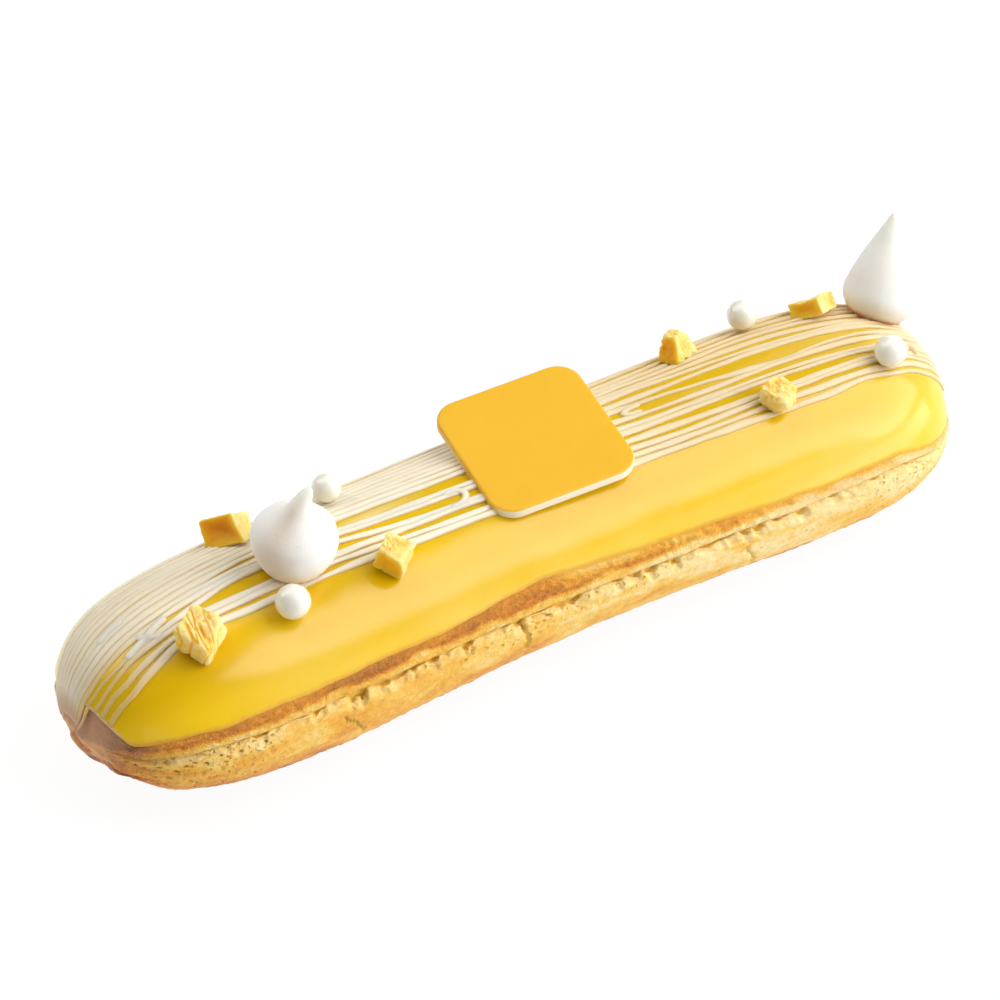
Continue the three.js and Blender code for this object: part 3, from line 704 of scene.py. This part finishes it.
def piped_line(share, angle, width, rise, film, clear, end):
    """A line of piped icing along a path on the body: a flat-topped oval section, half sunk into the body
    and square to it and to the path, that narrows to a round end at both tips."""
    path = body(share, angle)
    out = surface_axes(share, angle)[1]
    heading = unit(np.gradient(path, axis=0))
    side = np.cross(out, heading)
    run = run_along(path)
    from_tip = np.minimum(run, run[-1] - run)
    tip = np.sqrt(1 - (1 - np.clip(from_tip / 0.8, 0, 1)) ** 2)
    around = np.linspace(0, 2 * np.pi, LINE_SIDES, endpoint=False)
    level = np.where(np.sin(around) > 0, np.abs(np.sin(around)) ** 0.75, np.sin(around))
    lateral = (width / 2 * tip)[:, None] * np.cos(around)
    lift = (rise * tip)[:, None] * level
    points = path[:, None] + side[:, None] * lateral[..., None] + out[:, None] * lift[..., None]
    warm = smooth(-5, 30, share * HALF_LENGTH)[:, None]
    # Painted shade: the foot of a line's section, down in the seams between lines, is painted darker
    # yellow, partly the glaze showing through thin icing
    foot = 1 - smooth(0.4 - 0.3 * warm, 0.97 - 0.17 * warm, level)
    fields = {"film": film[:, None], "clear": clear[:, None], "end": end[:, None]}
    return points, {**fields, "foot": foot, "warm": warm}


def drizzle_lines():
    """Every piped line and link. A line wavers, swells and thins by noise of its own, is thinner on the
    right, spreads into its neighbours on the left, and flattens over the left end."""
    grids = []
    for i in range(LINE_ANGLES.shape[1]):
        left_tip = FIRST_TIPS[i] if i < len(FIRST_TIPS) else OTHER_TIPS
        share = stations(left_tip, RIGHT_TIPS, LINE_STEPS)
        x = share * HALF_LENGTH
        angle = through(LINE_STATIONS, LINE_ANGLES, x)[:, i]
        own = sheet_points(x, 40.0 * i)
        far = smooth(3, 6, i)
        spread = smooth(-38, -54, x) * far
        waver = (0.7 + 0.35 * far) * rough_noise(own, 11, 141)
        thinner = (0.16 + 0.1 * far) * smooth(12, 30, x)
        width = LINE_WIDTH * (1.06 + 0.46 * rough_noise(own, 8, 151) - thinner + 0.2 * spread)
        rise = LINE_RISE * (1 + 0.4 * rough_noise(own, 9, 161) - 0.15 * spread)
        rise = rise * (1 - 0.3 * smooth(-63, -68.5, x))
        end = smooth(-68.5, -69.6, x)
        near_end = (1 - far) * smooth(-58, -66, x)
        width = width * (1 - 0.3 * end) * (1 - 0.35 * near_end)
        rise = rise * (1 - 0.6 * end) * (1 - 0.45 * near_end)
        film = np.maximum(0.6 * smooth(-60, -68, x), 0.3 * spread)
        clear = (1 - far) * smooth(-54, -66, x)
        grids.append(piped_line(share, angle + waver, width, rise, film, clear, end))
    for run in [*LINKS, RIM_RUN]:
        knots, width, rise = run
        knots = np.array(knots, float)
        steps = np.linspace(0, len(knots) - 1, LINK_STEPS * len(knots))
        path = through(np.arange(len(knots), dtype=float), knots, steps)
        even = np.ones(len(path))
        film = even * (run is RIM_RUN)
        share = path[:, 0] / HALF_LENGTH
        angle = path[:, 1]
        grids.append(piped_line(share, angle, width * even, rise * even, film, 0.5 * film, 0.4 * film))
    return grids


def clearance(points):
    """Height in mm of points above the body, from how far their section radius goes beyond the body's."""
    share = np.clip(points[..., 0] / HALF_LENGTH, -0.985, 0.985)
    half_width = section_width(share) / 2
    rise = body(share, 90.0)[..., 2] - WAIST_HEIGHT
    across = (points[..., 1] - BOW * (1 - 2 * share**2)) / half_width
    return (np.hypot(across, (points[..., 2] - WAIST_HEIGHT) / rise) - 1) * rise


def seat_frame(x, angle, spin, axis):
    """Matrix of axes on the body: the first along the length, the third out of the surface or along an axis
    if one is given, all turned by a spin."""
    along, out = surface_axes(x / HALF_LENGTH, angle)
    if axis is not None:
        out = unit(np.array(axis, float))
        along = unit(along - out * (along @ out))
    side = np.cross(out, along)
    turn = np.radians(spin)
    first = along * np.cos(turn) + side * np.sin(turn)
    return np.stack([first, np.cross(out, first), out], axis=-1)


def plaque_surface():
    """The tablet: a rounded square, in rings from the middle of its underside over the rim to its top."""
    half = PLAQUE_SIDE / 2
    straight = half - PLAQUE_CORNER
    turn = np.linspace(0, np.pi / 2, PLAQUE_STEPS["corner"])
    side = np.linspace(-straight, straight, PLAQUE_STEPS["side"])[1:-1]
    corner = straight + PLAQUE_CORNER * np.stack([np.cos(turn), np.sin(turn)], axis=-1)
    edge = np.stack([side[::-1], np.full_like(side, half)], axis=-1)
    quarter = np.concatenate([corner, edge])
    quarter_turn = np.array([[0, 1], [-1, 0]])
    outline = np.concatenate([quarter @ np.linalg.matrix_power(quarter_turn, i) for i in range(4)])
    bend = np.linspace(0, np.pi / 2, PLAQUE_STEPS["edge"])
    inset = PLAQUE_EDGE * (1 - np.sin(bend))
    fall = PLAQUE_EDGE * (1 - np.cos(bend))
    below = np.linspace(0, 1, PLAQUE_STEPS["underside"])[:-1]
    above = np.linspace(1, 0, PLAQUE_STEPS["top"])[1:]
    rim_insets = np.concatenate([inset, inset[::-1]])
    rim_heights = np.concatenate([fall, PLAQUE_THICKNESS - fall[::-1]])
    flats = (len(below), len(above))
    shares = np.concatenate([below, np.ones(len(rim_insets)), above])
    insets = np.pad(rim_insets, flats, constant_values=PLAQUE_EDGE)
    heights = np.pad(rim_heights, flats, constant_values=(0, PLAQUE_THICKNESS))
    scale = shares * (1 - insets / half)
    flat = outline[None] * scale[:, None, None]
    points = np.concatenate([flat, np.broadcast_to(heights[:, None, None], (*flat.shape[:2], 1))], axis=-1)
    warp = 0.05 * lattice_noise(points, (9, 9, 40), 171)
    points[..., 2] += warp
    coat = smooth(PLAQUE_THICKNESS - 0.24, PLAQUE_THICKNESS - 0.1, points[..., 2] - warp)
    over_left = smooth(0.93, 0.98, -points[..., 0] / half) * smooth(0.15, 0.5, points[..., 2] - warp)
    coat = np.maximum(coat, over_left)
    turned = np.array(Euler(np.radians([PLAQUE_NOD, -PLAQUE_LEAN, PLAQUE_YAW])).to_matrix())
    return points @ turned.T + PLAQUE_MIDDLE, {"coat": coat}


def kiss_surface(
    x, angle, axis, radius, height, sink, widest, bend, curl, tip,
    ease=0, dome=1, roundness=1, power=1, foot=0, fold=0, fold_turn=0,
):
    """A piped meringue: rings up its axis to a share of the height where it is widest, then a dome that
    flows into a narrow tip. The tip curls with a power of the height, a soft fold may run down one side,
    and slow noise roughens it."""
    part = np.concatenate([[0, 0, 0], np.linspace(0, 1, KISS_ROWS) ** 0.9])
    ring = np.concatenate([[0, 0.5, 0.9], np.ones(KISS_ROWS)])
    level = blend(-sink, height, part)
    under = np.clip((widest * height - level) / (widest * height), 0, 1.2)
    over = np.clip((level / height - widest) / (1 - widest), 0, 1)
    eased = (np.hypot(over, ease) - ease) / (np.hypot(1, ease) - ease)
    flank = radius * (1 - KISS_NARROWING * under**2)
    rounded = flank * np.clip(1 - (eased / dome) ** roundness, 0, 1) ** power
    down = 1 - over
    nub = tip * (1 + 1.2 * down + foot * down**2) * np.sqrt(1 - over**10) * smooth(0.05, 0.45, over)
    joined = (rounded**KISS_JOIN + nub**KISS_JOIN) ** (1 / KISS_JOIN)
    soften = np.hanning(2 * SOFTENED_ROWS + 3)[1:-1]
    soft = np.convolve(np.pad(joined, SOFTENED_ROWS, "edge"), soften / soften.sum(), "valid")
    reach = ring * blend(joined, soft, smooth(0.05, 0.3, over) * smooth(0.95, 0.75, over))
    turn = np.linspace(0, 2 * np.pi, KISS_SIDES, endpoint=False)
    across = reach[:, None]
    rings = np.broadcast_arrays(across * np.cos(turn), across * np.sin(turn), level[:, None])
    points = np.stack(rings, axis=-1)
    ripple = rough_noise(points + 90 * angle, 3.5, 181, 2)
    ripple = ripple + 0.35 * rough_noise(points + 50 * angle, (1, 1, 3), 183, 2)
    apart = np.angle(np.exp(1j * (turn - np.radians(fold_turn))))
    shade = np.outer(smooth(-0.1, 0.35, level / height) * smooth(1, 0.6, over), bell(apart, 0, 0.6))
    push = (0.13 * ripple - fold * shade) / radius * np.minimum(reach / radius * 2, 1)[:, None]
    points[..., :2] *= (1 + push)[..., None]
    points[..., :2] += np.outer(over**bend, curl)[:, None]
    axes = seat_frame(x, angle, 0, axis)
    points = points @ axes.T + body(x / HALF_LENGTH, angle) + SEAT_LIFT * axes[:, 2]
    above = clearance(points)
    toast = bell(above, 0.5, 0.6)
    # Painted warm shade and bounce light: the lowest few mm of a kiss are painted beige
    low = 1 - smooth(0.8, 4.5, above)
    return points, {"toast": toast, "low": low, "peak": (over**4)[:, None], "shade": shade * (fold > 0)}


def ball_directions(rows, columns):
    """Unit directions in rings from the lower pole to the upper pole."""
    rise = np.linspace(-np.pi / 2, np.pi / 2, rows)[:, None]
    turn = np.linspace(0, 2 * np.pi, columns, endpoint=False)
    flat = np.cos(rise)
    return np.stack(np.broadcast_arrays(flat * np.cos(turn), flat * np.sin(turn), np.sin(rise)), axis=-1)


def pearl_surface(node):
    """A sugar pearl: a slightly uneven sphere at its solid's place, shifted to rest on the icing."""
    low, high = (np.array(corner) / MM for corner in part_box(node))
    middle = (low + high) / 2
    radius = (high - low).max() / 2
    around = ball_directions(*PEARL_GRID)
    uneven = 0.03 * lattice_noise(around * radius + middle, 1.6, 191)
    return around * (radius + uneven)[..., None] + middle + PEARL_SHIFT, {}


def fruit_surface(
    seed, x, angle, size, spin, square, hollow, fibre, rough, holes, amber, wedge=0, axis=None, sink=0.35
):
    """A chunk of dried fruit: a block, narrower at the top by its wedge, whose faces are hollowed between
    raised edges, warped and chipped by noise, pitted, and grooved by fibres. Its left face is cut, and is
    painted amber, partly as a cut face and partly as painted shade on the side away from the light."""
    around = ball_directions(*FRUIT_GRID)
    block = around / (np.abs(around) ** square).sum(-1, keepdims=True) ** (1 / square)
    half = np.array(size) / 2
    points = block * half
    points[..., :2] *= 1 - wedge * (block[..., 2:] + 1) / 2
    shifted = points + 60 * seed
    warp = np.stack([rough_noise(shifted, 3.4, 201 + 3 * seed + i, 1) for i in range(3)], axis=-1)
    chips = rough_noise(shifted, 1.4, 221 + seed, 3)
    along, across, up = np.moveaxis(shifted, -1, 0)
    slant = np.stack([along - across, along + across, up], axis=-1)
    strands = np.abs(rough_noise(slant, (1.2, 7, 4.5), 231 + seed, 2))
    groove = 1 - smooth(0.02, 0.16, strands)
    pit = pores(shifted, 1.3, 241 + seed)
    face = np.prod(1 - np.sort(np.abs(block), axis=-1)[..., :2] ** 4, axis=-1)
    # The left face: modelled as cut, and painted amber partly as a cut face and partly as painted shade on
    # the side away from the light
    cut = smooth(0.3, 0.75, -unit(block**5)[..., 0])
    push = rough * chips * (1 - 0.6 * cut) - hollow * face * (0.4 + cut) - fibre * groove - holes * pit
    points = points + 0.38 * warp + around * push[..., None]
    axes = seat_frame(x, angle, spin, axis)
    seat = body(x / HALF_LENGTH, angle) + (SEAT_LIFT + half[2] - sink) * axes[:, 2]
    # Painted shade: grooves and pits are painted amber, partly the flesh's colour and partly shade in them
    deep = np.maximum(groove * min(1, 1.8 * fibre), pit * min(1, 2 * holes))
    # Painted shade: how strongly the left face is painted amber, by the chunk's amber share
    cut = amber * cut * (0.55 + 0.45 * face)
    return points @ axes.T + seat, {"groove": deep, "edge": 1 - face, "cut": cut, "chips": chips}


def choux_finish():
    """Baked crust: cream to brown by how far it is baked and paler towards the right end as painted light,
    amber in the holes, grainy and dull.
    """
    crust = Finish("baked_choux", {"IOR": 1.45, **soft_light(0.05, (1.0, 0.6, 0.25), 0.7)})
    speckle = crust.noise(0.45, 4, 0.7)
    cloud = crust.noise(2.6, 4, 0.65, (0.6, 1, 1))
    lip = crust.field("lip")
    flake = crust.noise(1.0, 5, 0.7, (0.8, 1, 1.3))
    bake = crust.field("bake") + 0.6 * (cloud - 0.5) + (0.4 + 0.24 * lip) * (speckle - 0.5)
    bake = bake + 0.5 * (flake - 0.5)
    baked = crust.ramp(bake, [
        (0.0, "FCE1A0"), (0.2, "F8C95C"), (0.4, "F2B03A"), (0.6, "E0902C"), (0.8, "BF6F28"),
        (1.0, "8A4E2A"),
    ])
    crumb = crust.mix(crust.step(speckle, 0.35, 0.7), "F3C35C", "FBE3A4")
    skin = crust.mix(0.6 * crust.field("crumb"), baked, crumb)
    skin = crust.mix(0.7 * crust.field("stain") * cloud, skin, "E8A52E")
    pinhole = 1 - crust.step(crust.cells(0.9) + 0.35 * (speckle - 0.5), 0.1, 0.3)
    pinhole = pinhole * crust.step(crust.field("pitted") + cloud, 0.6, 0.95)
    deep = crust.step(crust.field("amber") + 0.2 * (speckle - 0.5), 0.05, 0.5).at_least(0.8 * pinhole)
    skin = crust.mix(0.9 * deep, skin, "F4CB5C")
    skin = crust.mix(0.65 * crust.field("film"), skin, "E6B68C")
    grain = (0.5 + 0.6 * lip) * (0.5 * crust.noise(0.3, 3, 0.65) + 1 - flake) - 0.7 * pinhole
    return crust.wear(skin, 0.46 + 0.15 * speckle + 0.15 * lip, crust.bump(grain, 0.4, 0.9))


def glaze_finish():
    """Lemon glaze: a full yellow under a clear shine, paler where it is milky and where it thins out.
    Its pale patches are partly painted reflection and highlight; it is painted darker between the crown's
    lines as shade, and brighter low on the front as painted light.
    """
    glaze = Finish("lemon_glaze", {
        "Specular IOR Level": 0.0,
        "Coat IOR": 1.47,
        "Coat Roughness": 0.17,
        **soft_light(0.25, (1.0, 0.6, 0.08), 1.2),
    })
    cloud = glaze.noise(9, 3, 0.5)
    yellow = glaze.mix(cloud, "E1B300", "EAC002")
    # Painted shade between the lines on the crown
    yellow = glaze.mix(0.85 * glaze.field("olive"), yellow, "D9AF0C")
    # Painted light on the low front band
    yellow = glaze.mix(0.9 * glaze.field("bright"), yellow, "FFD020")
    thin = 1 - glaze.step(glaze.field("depth") + 1.3 * (glaze.noise(0.7, 4, 0.65) - 0.5), 0.0, 1.2)
    yellow = glaze.mix(0.85 * thin, yellow, "E8A03A")
    # Milky glaze and painted reflection
    yellow = glaze.mix(glaze.field("milk"), yellow, "F1DD98")
    fleck = glaze.step(glaze.noise(0.45, 2, 0.5), 0.7, 0.78)
    normal = glaze.bump(0.7 * glaze.noise(6, 2, 0.5) + 0.05 * fleck, 0.05, 0.5)
    return glaze.wear(yellow, 0.5, normal, 1 - 0.8 * thin)


def drizzle_finish():
    """White icing: cream white, darker yellow at the foot of a line, partly the glaze showing through and
    partly painted shade in the seams, browner where it thins out at the left.
    """
    icing = Finish("white_icing", {"IOR": 1.45, **soft_light(0.3, (1.0, 0.75, 0.45), 0.9)})
    cloud = icing.noise(4, 3, 0.55, (0.4, 1, 1))
    cream = icing.mix(cloud, "F5E7CC", "FAF1DE")
    cream = icing.mix(0.85 * icing.field("warm"), cream, "E7CD9F")
    # Painted shade in the seams between lines, partly the glaze's yellow through thin icing
    shade = icing.mix(icing.field("warm"), "CBA54E", "D8BA68")
    cream = icing.mix(0.65 * icing.field("foot"), cream, shade)
    cream = icing.mix(0.75 * icing.field("film") * (0.4 + cloud), cream, "ECC98C")
    cream = icing.mix(0.75 * icing.field("clear"), cream, "DDB23C")
    cream = icing.mix(0.9 * icing.field("end"), cream, "CC9E74")
    normal = icing.bump(icing.noise(0.9, 3, 0.55, (0.35, 1, 1)), 0.05, 0.5)
    return icing.wear(cream, 0.38 + 0.14 * cloud, normal)


def plaque_finish():
    """White chocolate tablet with a satin yellow coat on its top."""
    tablet = Finish("coated_tablet", {"IOR": 1.45, **soft_light(0.1, (1.0, 0.7, 0.3), 0.6)})
    cloud = tablet.noise(5, 3, 0.5)
    speck = tablet.noise(0.5, 3, 0.6)
    yellow = tablet.mix(cloud, "EBB216", "EFBA20")
    white = tablet.mix(speck, "FBF2D8", "FDF6E4")
    skin = tablet.mix(tablet.field("coat"), white, yellow)
    return tablet.wear(skin, 0.4 + 0.1 * speck, tablet.bump(speck, 0.02, 0.4))


def meringue_finish():
    """Dry meringue: chalk white with tiny pits, toasted round the foot and faintly dull at the tip. Painted
    shade darkens its pits and its fold, and painted warm bounce light tints its lowest part beige.
    """
    meringue = Finish("dry_meringue", {"IOR": 1.4, **soft_light(0.7, (1.0, 0.85, 0.7), 3.0)})
    pits = meringue.step(meringue.noise(0.42, 2, 0.5), 0.3, 0.42)
    white = meringue.mix(meringue.noise(2.5, 3, 0.5), "F5F2EC", "F9F7F3")
    # Painted shade: the tiny pits are painted faintly darker
    white = meringue.mix(0.05 * (1 - pits), white, "CDBFAE")
    # Painted warm bounce light low on the kiss
    white = meringue.mix(0.3 * meringue.field("low"), white, "E6CFA8")
    white = meringue.mix(0.55 * meringue.field("peak"), white, "D6D7C3")
    white = meringue.mix(0.4 * meringue.field("shade"), white, "CDB596")
    toast = meringue.field("toast") * meringue.step(meringue.noise(1.5, 3, 0.6), 0.2, 0.5)
    white = meringue.mix(0.9 * toast, white, "CE8734")
    normal = meringue.bump(0.5 * pits + meringue.noise(1.2, 3, 0.55), 0.05, 0.6)
    return meringue.wear(white, 0.82, normal)


def pearl_finish():
    """Sugar pearl: ivory with a soft lustre."""
    pearl = Finish("sugar_pearl", {
        "IOR": 1.5,
        "Coat Roughness": 0.12,
        "Coat IOR": 1.6,
        **soft_light(0.3, (1.0, 0.85, 0.6), 0.8),
    })
    cloud = pearl.noise(1.3, 3, 0.5)
    ivory = pearl.mix(cloud, "F1EDDC", "F9F7EC")
    normal = pearl.bump(pearl.noise(0.4, 3, 0.5), 0.015, 0.4)
    return pearl.wear(ivory, 0.25 + 0.12 * cloud, normal, 0.8 + 0.2 * cloud)


def fruit_finish():
    """Dried fruit: pale yellow ridges, amber between the fibres and on the left face, partly the flesh's
    colour and partly painted shade, with a broken, sugary surface.
    """
    fruit = Finish("dried_fruit", {"IOR": 1.45, **soft_light(0.65, (1.0, 0.6, 0.12), 2.0)})
    fibre = fruit.noise(0.6, 4, 0.65)
    # Amber in the grooves: partly the flesh's colour, partly painted shade
    tone = 0.32 + 0.7 * fruit.field("groove") + 0.5 * (fibre - 0.5) - 0.16 * fruit.field("edge")
    tone = tone - 0.2 * fruit.field("chips")
    flesh = fruit.ramp(tone, [
        (0.0, "FDEDBE"), (0.3, "FBDD88"), (0.6, "F4C13C"), (1.0, "E6A31A"),
    ])
    # Amber on the left face: partly a cut face, partly painted shade
    cut = fruit.ramp(fruit.field("cut") + 0.3 * (fibre - 0.5) - 0.3 * fruit.field("edge"), [
        (0.3, "FDD03A"), (0.65, "F9BC0E"), (1.0, "EDA600"),
    ])
    flesh = fruit.mix(fruit.step(fruit.field("cut"), 0.15, 0.5), flesh, cut)
    normal = fruit.bump(fibre + 0.5 * fruit.noise(0.25, 2, 0.6), 0.12, 0.7)
    return fruit.wear(flesh, 0.5 + 0.25 * fibre, normal)


add_piece("choux_shell", [choux_surface()], choux_finish(), "choux")
add_piece("glaze", [glaze_surface()], glaze_finish(), "icing")
add_piece("drizzle", drizzle_lines(), drizzle_finish(), "icing")
add_piece("plaque_tablet", [plaque_surface()], plaque_finish(), "plaque")
dry_meringue = meringue_finish()
for node, kiss in KISSES.items():
    add_piece(node + "_kiss", [kiss_surface(**kiss)], dry_meringue, node)
sugar_pearl = pearl_finish()
for node in PEARLS:
    add_piece(node + "_bead", [pearl_surface(node)], sugar_pearl, node)
dried_fruit = fruit_finish()
for seed, (node, chunk) in enumerate(FRUIT.items(), 1):
    add_piece(node + "_chunk", [fruit_surface(seed, **chunk)], dried_fruit, node)

# Table, lights and camera
TABLE_HALF = 2.0
TABLE_GLOW = 0.94
WORLD_LIGHT = 0.12
WORLD_COLOUR = (1, 0.96, 0.9, 1)
TARGET = Vector((0, 0, 11 * MM))
# Softboxes: place and size in m, and radiance
SOFTBOXES = {
    "softbox_above": ((0.48, -0.27, 0.6), (0.62, 0.76), 4.0),
    "softbox_right": ((0.75, -0.25, 0.3), (0.6, 0.5), 0.5),
    "softbox_back": ((0.7, 0.55, 0.6), (0.5, 0.5), 1.2),
    "softbox_top": ((-0.1, 0.35, 0.95), (0.8, 0.6), 1.6),
    "softbox_left": ((-0.45, 0.6, 0.6), (0.6, 0.6), 2.2),
    "fill_left": ((-0.6, -0.7, 0.25), (0.5, 0.3), 0.6),
    "card_front": ((0.726, -0.628, 0.14), (0.9, 0.28), 3.6),
    "card_low": ((0.52, -0.62, 0.36), (0.5, 0.24), 1.5),
}
# Camera: angles, distance in m, lens and sensor in mm, and how far its aim is shifted from the target
CAMERA_ELEVATION = np.radians(43)
CAMERA_AZIMUTH = np.radians(-31.45)
CAMERA_DISTANCE = 0.7691
CAMERA_LENS = 197.26
SENSOR_WIDTH = 36
AIM_RIGHT = -1.24 * MM
AIM_UP = 6.46 * MM


def add_table():
    """A white matt table far larger than the view."""
    table = Finish("white_table", {
        "Roughness": 0.9,
        "Specular IOR Level": 0.0,
        "Emission Color": (1, 1, 1, 1),
        "Emission Strength": TABLE_GLOW,
    })
    grey = table.mix(table.noise(60, 2, 0.5), (0.08, 0.08, 0.08, 1), (0.1, 0.1, 0.1, 1))
    table.feed(table.shader, {"Base Color": grey})
    corners = [(-1, -1), (1, -1), (1, 1), (-1, 1)]
    mesh = bpy.data.meshes.new("table")
    mesh.from_pydata([(x * TABLE_HALF, y * TABLE_HALF, 0) for x, y in corners], [], [(0, 1, 2, 3)])
    mesh.materials.append(table.material)
    top = add_object("table", mesh)


def turned_to(place, target):
    """Matrix at a place whose -Z axis looks at the target, with its Y axis upwards."""
    facing = (target - Vector(place)).to_track_quat("-Z", "Y")
    return Matrix.Translation(place) @ facing.to_matrix().to_4x4()


def add_softbox(name, place, size, radiance):
    """A rectangular light that looks at the target. Its power is its radiance times pi times its area."""
    light = bpy.data.lights.new(name, "AREA")
    light.shape = "RECTANGLE"
    light.size, light.size_y = size
    light.energy = radiance * np.pi * size[0] * size[1]
    add_object(name, light).matrix_world = turned_to(place, TARGET)


def add_world(strength):
    """Even, warm light from all around."""
    world = bpy.data.worlds.new("studio")
    world.use_nodes = True
    background = world.node_tree.nodes["Background"]
    background.inputs["Color"].default_value = WORLD_COLOUR
    background.inputs["Strength"].default_value = strength
    bpy.context.scene.world = world


def add_camera():
    """A long lens at the photograph's azimuth and elevation, aimed a little above the eclair's middle."""
    right = Vector((np.cos(CAMERA_AZIMUTH), np.sin(CAMERA_AZIMUTH), 0))
    level = Vector((np.sin(CAMERA_AZIMUTH), -np.cos(CAMERA_AZIMUTH), 0))
    back = level * np.cos(CAMERA_ELEVATION) + Vector((0, 0, np.sin(CAMERA_ELEVATION)))
    aim = TARGET + right * AIM_RIGHT + back.cross(right) * AIM_UP
    lens = bpy.data.cameras.new("camera")
    lens.lens = CAMERA_LENS
    lens.sensor_width = SENSOR_WIDTH
    lens.clip_start = 0.01
    camera = add_object("camera", lens)
    camera.matrix_world = turned_to(aim + back * CAMERA_DISTANCE, aim)
    bpy.context.scene.camera = camera


add_table()
for name, softbox in SOFTBOXES.items():
    add_softbox(name, *softbox)
add_world(WORLD_LIGHT)
add_camera()
bpy.context.scene.view_settings.view_transform = "Standard"
